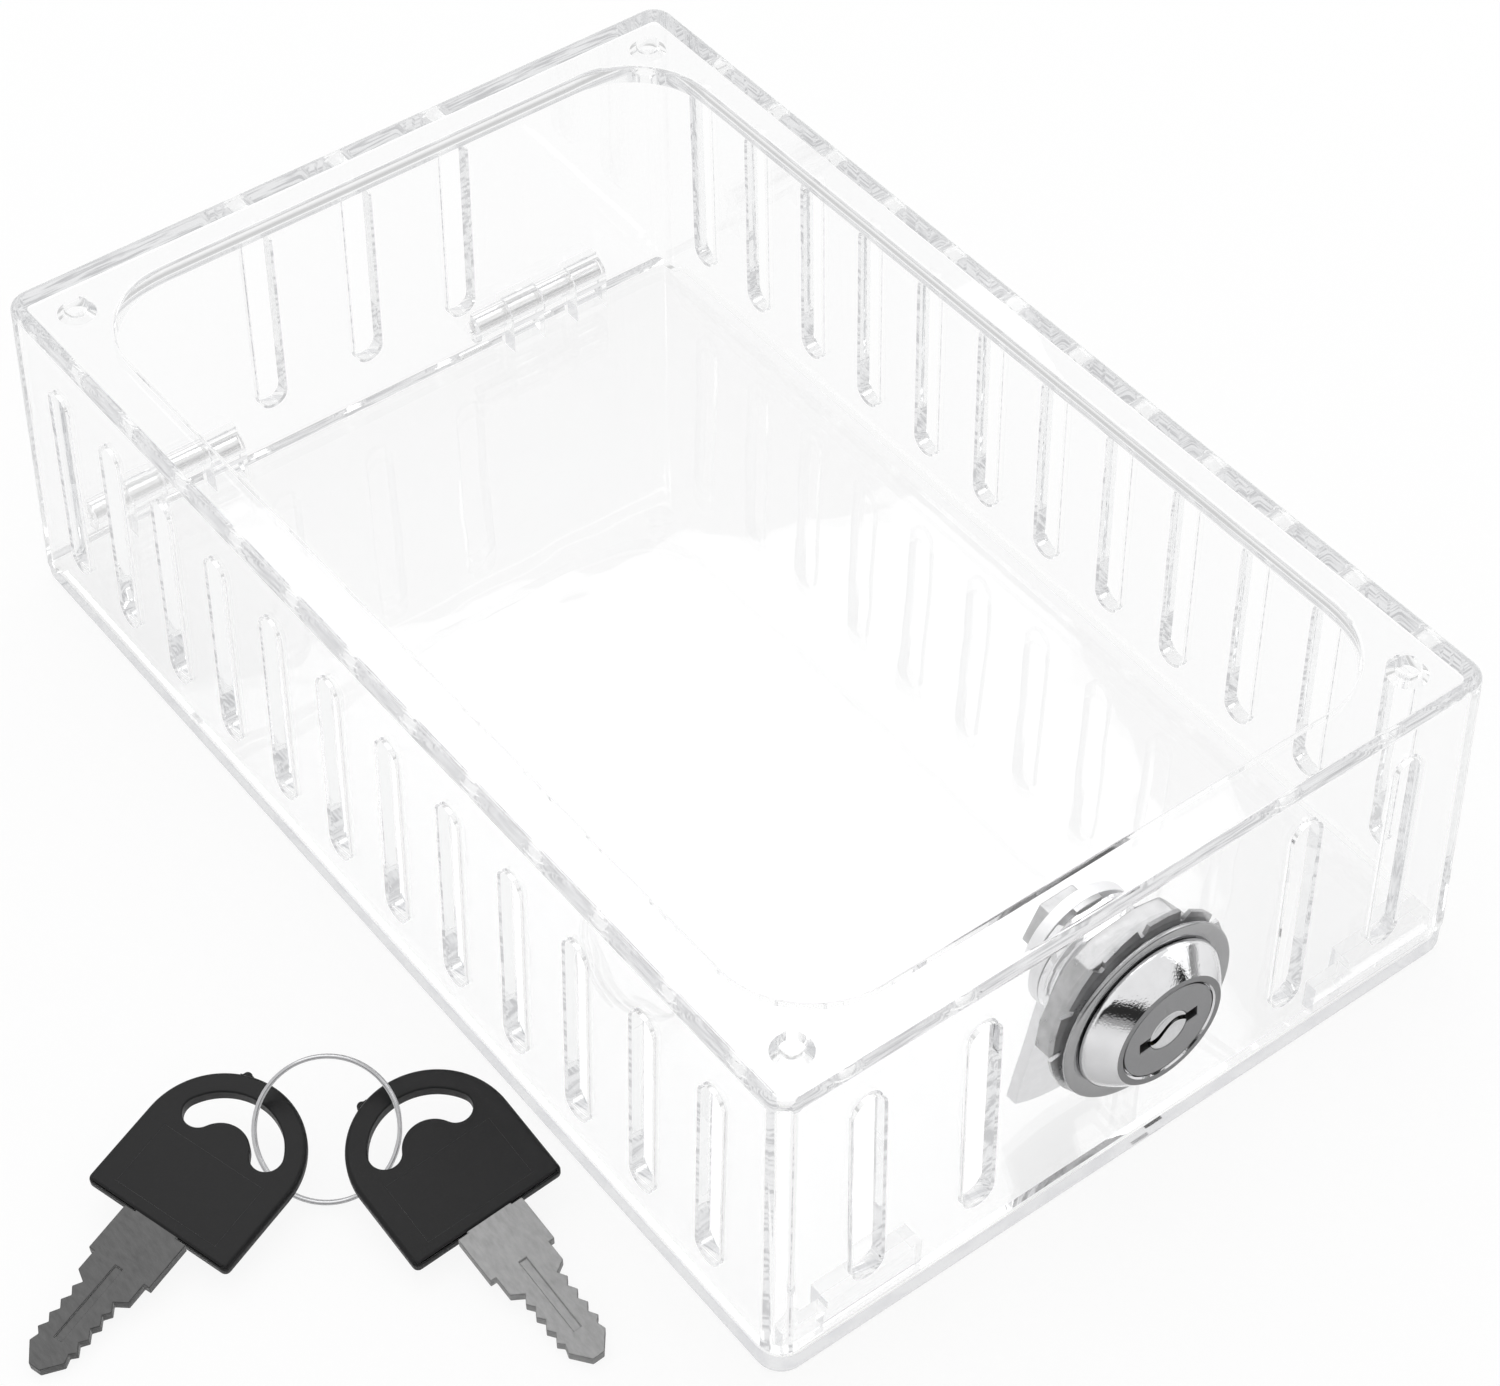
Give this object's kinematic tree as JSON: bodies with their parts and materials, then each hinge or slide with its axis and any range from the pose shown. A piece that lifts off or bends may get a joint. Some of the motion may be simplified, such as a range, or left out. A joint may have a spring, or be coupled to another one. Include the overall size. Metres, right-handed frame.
{
  "type": "thermostat lock box",
  "caption": "Clear ventilated lock box for a wall thermostat: flanged tray with slotted walls, hinged front panel, cam lock, and keys on a split ring.",
  "frame": {"origin": "middle of the front panel's outer face, which lies on the table as in the picture", "axes": "+Z from the front panel to the wall flange, +Y from the lock to the hinges, +X across the box to the right as seen from the lock side"},
  "size_m": [0.1983, 0.1939, 0.0565],
  "materials": {
    "clear_acrylic": "clear moulded plastic",
    "pin_steel": "drawn steel",
    "chrome": "polished chrome plate",
    "zinc_steel": "zinc plated steel",
    "plug_metal": "satin nickel plate",
    "spring_steel": "spring steel",
    "ring_steel": "nickel plated wire",
    "key_plastic": "satin moulded plastic",
    "key_steel": "nickel plated steel",
    "wafer_brass": "stamped brass"
  },
  "bodies": {
    "panel": {"front_panel": "clear_acrylic", "latch_keeper": "clear_acrylic", "hinge_pin_left": "pin_steel", "hinge_pin_right": "pin_steel"},
    "box": {"box_body": "clear_acrylic", "lock_collar": "chrome", "lock_housing": "chrome", "toothed_washer": "zinc_steel", "lock_nut": "zinc_steel"},
    "plug": {"lock_plug": "plug_metal", "wafer_springs": "spring_steel", "stop_washer": "zinc_steel", "cam": "zinc_steel", "cam_lock_washer": "spring_steel", "cam_nut": "zinc_steel"},
    "wafer_1": {"wafer_1": "wafer_brass"},
    "wafer_2": {"wafer_2": "wafer_brass"},
    "wafer_3": {"wafer_3": "wafer_brass"},
    "wafer_4": {"wafer_4": "wafer_brass"},
    "wafer_5": {"wafer_5": "wafer_brass"},
    "ring": {"key_ring": "ring_steel"},
    "key_a": {"key_a_head": "key_plastic", "key_a_blade": "key_steel"},
    "key_b": {"key_b_head": "key_plastic", "key_b_blade": "key_steel"}
  },
  "joints": [
    {"name": "box_hinge", "type": "hinge", "parent": "panel", "child": "box", "pos_m": [0, 0.09171, 0.0096], "axis": [-1, 0, 0], "range_deg": [0, 92]},
    {"name": "lock_turn", "type": "hinge", "parent": "box", "child": "plug", "pos_m": [0, -0.09408, 0.0318], "axis": [0, 0.9997, -0.0236], "range_deg": [-15, 75]},
    {"name": "wafer_1_slide", "type": "slide", "parent": "plug", "child": "wafer_1", "axis": [-0.9976, -0.0016, -0.0697], "range_m": [-0.0008, 0]},
    {"name": "wafer_2_slide", "type": "slide", "parent": "plug", "child": "wafer_2", "axis": [0.9976, 0.0016, 0.0697], "range_m": [-0.0008, 0]},
    {"name": "wafer_3_slide", "type": "slide", "parent": "plug", "child": "wafer_3", "axis": [-0.9976, -0.0016, -0.0697], "range_m": [-0.0008, 0]},
    {"name": "wafer_4_slide", "type": "slide", "parent": "plug", "child": "wafer_4", "axis": [0.9976, 0.0016, 0.0697], "range_m": [-0.0008, 0]},
    {"name": "wafer_5_slide", "type": "slide", "parent": "plug", "child": "wafer_5", "axis": [-0.9976, -0.0016, -0.0697], "range_m": [-0.0008, 0]},
    {"name": "ring_lift", "type": "slide", "parent": "panel", "child": "ring", "axis": [0, 0, 1], "range_m": [0, 0.2]},
    {"name": "key_a_fold", "type": "hinge", "parent": "ring", "child": "key_a", "pos_m": [-0.09488, -0.0251, 0.00642], "axis": [-0.809, 0.5878, 0], "range_deg": [0, 40]},
    {"name": "key_b_fold", "type": "hinge", "parent": "ring", "child": "key_b", "pos_m": [-0.08112, -0.0351, 0.00642], "axis": [-0.809, 0.5878, 0], "range_deg": [0, 40]}
  ]
}
